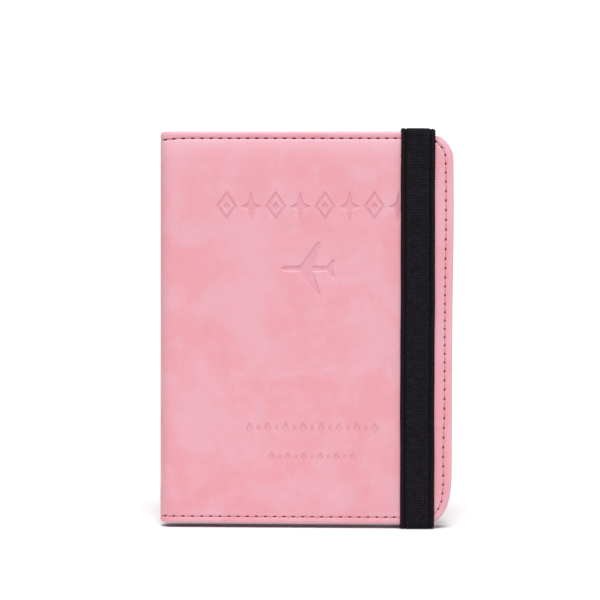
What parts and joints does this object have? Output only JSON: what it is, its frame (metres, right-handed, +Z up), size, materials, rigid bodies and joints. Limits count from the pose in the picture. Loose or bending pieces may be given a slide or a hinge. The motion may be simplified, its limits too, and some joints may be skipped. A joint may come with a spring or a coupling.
{
  "type": "passport holder",
  "caption": "Book-style passport holder with a folding spine, inner passport, card and ticket pockets, and an elastic closure band.",
  "frame": {"origin": "centre of the footprint of the closed holder, standing on its bottom edge", "axes": "+X from the spine to the fore-edge, +Y from the front cover to the back cover, +Z up along the spine"},
  "size_m": [0.1046, 0.0132, 0.1434],
  "materials": {
    "cover_leather": "soft matte embossed leather, dusty pink",
    "pocket_leather": "thin soft leather, dusty pink",
    "lining_cloth": "fine woven lining",
    "board": "grey board",
    "shield_foil": "thin foil laminate",
    "thread": "polyester sewing thread",
    "elastic": "black woven elastic"
  },
  "bodies": {
    "back_cover": {"back_skin": "cover_leather", "back_board": "board", "back_shield": "shield_foil", "back_lining": "lining_cloth", "passport_pocket": "pocket_leather", "back_stitching": "thread", "back_inner_stitching": "thread", "pocket_edge_stitching": "thread", "elastic_tails": "elastic", "elastic_wraps": "elastic"},
    "spine": {"spine_skin": "cover_leather", "spine_lining": "lining_cloth", "spine_stitching": "thread"},
    "front_cover": {"front_skin": "cover_leather", "front_board": "board", "front_shield": "shield_foil", "front_lining": "lining_cloth", "ticket_pocket": "pocket_leather", "card_slot_upper": "pocket_leather", "card_slot_middle": "pocket_leather", "card_slot_lower": "pocket_leather", "sim_pocket": "pocket_leather", "front_stitching": "thread", "front_inner_stitching": "thread", "card_slot_stitching": "thread", "ticket_edge_stitching": "thread", "sim_pocket_stitching": "thread"},
    "elastic": {"elastic_band": "elastic"}
  },
  "joints": [
    {"name": "spine_fold", "type": "hinge", "parent": "back_cover", "child": "spine", "pos_m": [-0.05118, 0.00553, 0.0717], "axis": [0, 0, -1], "range_deg": [0, 90]},
    {"name": "front_fold", "type": "hinge", "parent": "spine", "child": "front_cover", "pos_m": [-0.05118, -0.00433, 0.0717], "axis": [0, 0, -1], "range_deg": [0, 90]},
    {"name": "elastic_swing", "type": "hinge", "parent": "back_cover", "child": "elastic", "pos_m": [0.03955, 0.0006, 0.0717], "axis": [0, 0, 1], "range_deg": [0, 180], "deforming": ["elastic_band", "elastic_wraps"]}
  ],
  "couplings": [
    {"joint": "spine_fold", "follows": "front_fold", "ratio": 1},
    {"joint": "elastic_swing", "follows": "front_fold", "ratio": 2}
  ]
}
